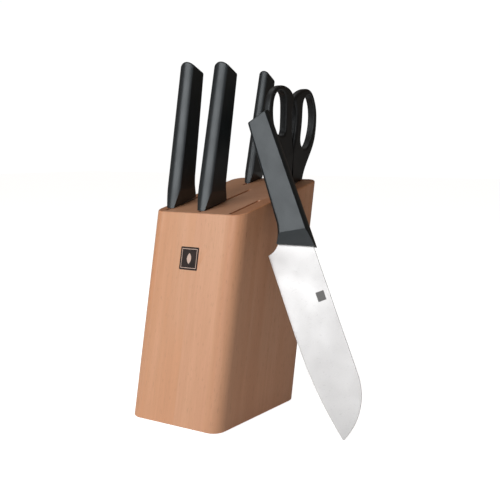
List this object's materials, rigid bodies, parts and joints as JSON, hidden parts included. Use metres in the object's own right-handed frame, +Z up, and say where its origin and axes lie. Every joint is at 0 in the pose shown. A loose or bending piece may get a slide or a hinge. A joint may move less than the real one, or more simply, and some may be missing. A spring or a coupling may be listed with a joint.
{
  "type": "knife block with knives",
  "caption": "Leaning rectangular wooden knife block with rounded corners, holding cleavers, a utility knife and kitchen scissors, with a santoku propped against its side.",
  "frame": {"origin": "centre of the block's rest face, on the table", "axes": "+Z up, -Y towards the front face with the badge, +X towards the side the santoku leans on"},
  "size_m": [0.1976, 0.1936, 0.313],
  "materials": {
    "beech": "satin oiled",
    "beech_tone": "satin oiled",
    "badge": "matte",
    "handle": "matte, fine grain",
    "bow": "matte, fine grain",
    "blade": "satin ground",
    "pivot": "polished"
  },
  "bodies": {
    "block": {"left_side_board": "beech", "left_inner_board": "beech_tone", "middle_board": "beech", "right_inner_board": "beech_tone", "right_side_board": "beech", "badge": "badge"},
    "chopper": {"chopper_handle": "handle", "chopper_blade": "blade"},
    "cleaver": {"cleaver_handle": "handle", "cleaver_blade": "blade"},
    "utility_knife": {"utility_handle": "handle", "utility_blade": "blade"},
    "santoku": {"santoku_handle": "handle", "santoku_blade": "blade"},
    "scissor_pivot": {"pivot_screw": "pivot", "pivot_nut": "pivot"},
    "scissor_front_half": {"scissor_front_bow": "bow", "scissor_front_blade": "blade"},
    "scissor_rear_half": {"scissor_rear_bow": "bow", "scissor_rear_blade": "blade"}
  },
  "joints": [
    {"name": "chopper_draw", "type": "slide", "parent": "block", "child": "chopper", "axis": [0, 0.1874, 0.9823], "range_m": [0, 0.165]},
    {"name": "cleaver_draw", "type": "slide", "parent": "block", "child": "cleaver", "axis": [0, 0.2233, 0.9748], "range_m": [0, 0.165]},
    {"name": "utility_draw", "type": "slide", "parent": "block", "child": "utility_knife", "axis": [0, 0.2538, 0.9673], "range_m": [0, 0.135]},
    {"name": "santoku_lift", "type": "slide", "parent": "block", "child": "santoku", "axis": [0.8557, 0.3449, 0.3859], "range_m": [0, 0.15]},
    {"name": "scissors_lift", "type": "slide", "parent": "block", "child": "scissor_pivot", "axis": [0, 0.1994, 0.9799], "range_m": [0, 0.2]},
    {"name": "front_half_hinge", "type": "hinge", "parent": "scissor_pivot", "child": "scissor_front_half", "pos_m": [0.0272, 0.079, 0.1864], "axis": [1, 0, 0], "range_deg": [0, 18.5]},
    {"name": "rear_half_hinge", "type": "hinge", "parent": "scissor_pivot", "child": "scissor_rear_half", "pos_m": [0.0272, 0.079, 0.1864], "axis": [1, 0, 0], "range_deg": [-18.5, 0]}
  ],
  "couplings": [
    {"joint": "front_half_hinge", "follows": "scissors_lift", "rad_per_m": 1.6},
    {"joint": "rear_half_hinge", "follows": "scissors_lift", "rad_per_m": -1.6}
  ]
}
